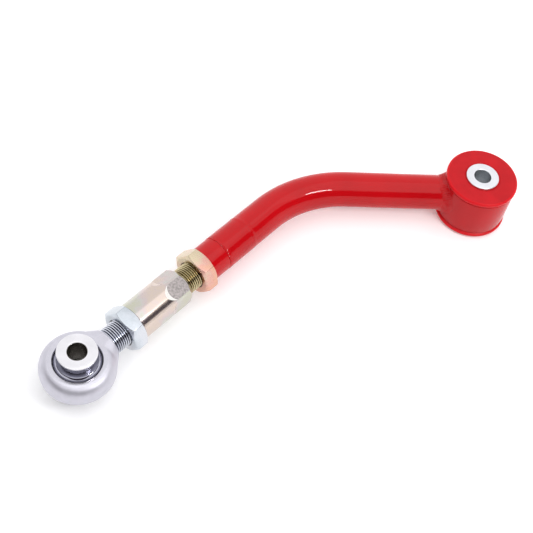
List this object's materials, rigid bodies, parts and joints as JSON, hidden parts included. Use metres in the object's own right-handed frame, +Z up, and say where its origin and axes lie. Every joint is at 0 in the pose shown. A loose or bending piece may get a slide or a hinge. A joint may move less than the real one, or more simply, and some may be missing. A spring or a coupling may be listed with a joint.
{
  "type": "control arm",
  "caption": "Bent tube suspension link with a bushed eye at one end and a spherical rod end on a double-threaded length adjuster at the other.",
  "frame": {"origin": "centre of the bolt hole through the eye's inner sleeve, halfway between the sleeve's end faces", "axes": "+Z up along the eye's bolt hole; the arm lies flat in the XY plane, the tube leaves the eye along -X and bends 45 degrees towards -Y"},
  "size_m": [0.3325, 0.2007, 0.04],
  "materials": {
    "powder_coat": "gloss",
    "bushing": "satin",
    "sleeve_steel": "satin",
    "yellow_zinc": "satin",
    "rainbow_zinc": "gloss",
    "clear_zinc": "gloss",
    "rod_end_steel": "satin",
    "liner": "matte",
    "ball_chrome": "mirror",
    "spacer_steel": "satin"
  },
  "bodies": {
    "arm": {"arm_tube": "powder_coat", "tube_insert": "powder_coat", "insert_weld": "powder_coat", "eye_shell": "powder_coat", "eye_weld": "powder_coat", "upper_bushing": "bushing", "lower_bushing": "bushing"},
    "inner_sleeve": {"inner_sleeve": "sleeve_steel"},
    "tube_jam_nut": {"tube_jam_nut": "yellow_zinc"},
    "rod_end_jam_nut": {"rod_end_jam_nut": "clear_zinc"},
    "adjuster": {"adjuster": "rainbow_zinc"},
    "rod_end": {"rod_end_body": "rod_end_steel"},
    "race_liner": {"race_liner": "liner"},
    "ball": {"ball": "ball_chrome"},
    "spacers": {"upper_spacer": "spacer_steel", "lower_spacer": "spacer_steel"}
  },
  "joints": [
    {"name": "sleeve_turn", "type": "hinge", "parent": "arm", "child": "inner_sleeve", "pos_m": [0, 0, 0], "axis": [0, 0, 1], "continuous": true},
    {"name": "tube_nut_loosen", "type": "hinge", "parent": "arm", "child": "tube_jam_nut", "pos_m": [-0.2063, -0.07451, 0], "axis": [-0.7071, -0.7071, 0], "range_deg": [0, 90]},
    {"name": "adjuster_turn", "type": "hinge", "parent": "rod_end_jam_nut", "child": "adjuster", "pos_m": [-0.21756, -0.08577, 0], "axis": [-0.7071, -0.7071, 0], "range_deg": [-2162, 2162]},
    {"name": "adjuster_advance", "type": "slide", "parent": "arm", "child": "rod_end_jam_nut", "axis": [-0.7071, -0.7071, 0], "range_m": [-0.00954, 0.00954]},
    {"name": "rod_end_advance", "type": "slide", "parent": "arm", "child": "rod_end", "axis": [-0.7071, -0.7071, 0], "range_m": [-0.01905, 0.01905]},
    {"name": "liner_turn", "type": "hinge", "parent": "rod_end", "child": "race_liner", "pos_m": [-0.28191, -0.15011, 0], "axis": [0, 0, 1], "continuous": true},
    {"name": "ball_tilt", "type": "hinge", "parent": "race_liner", "child": "ball", "pos_m": [-0.28191, -0.15011, 0], "axis": [1, 0, 0], "range_deg": [-18, 18]},
    {"name": "spacer_turn", "type": "hinge", "parent": "ball", "child": "spacers", "pos_m": [-0.28191, -0.15011, 0], "axis": [0, 0, 1], "continuous": true}
  ],
  "couplings": [
    {"joint": "adjuster_advance", "follows": "rod_end_advance", "ratio": 0.5},
    {"joint": "adjuster_turn", "follows": "rod_end_advance", "rad_per_m": 1979}
  ]
}
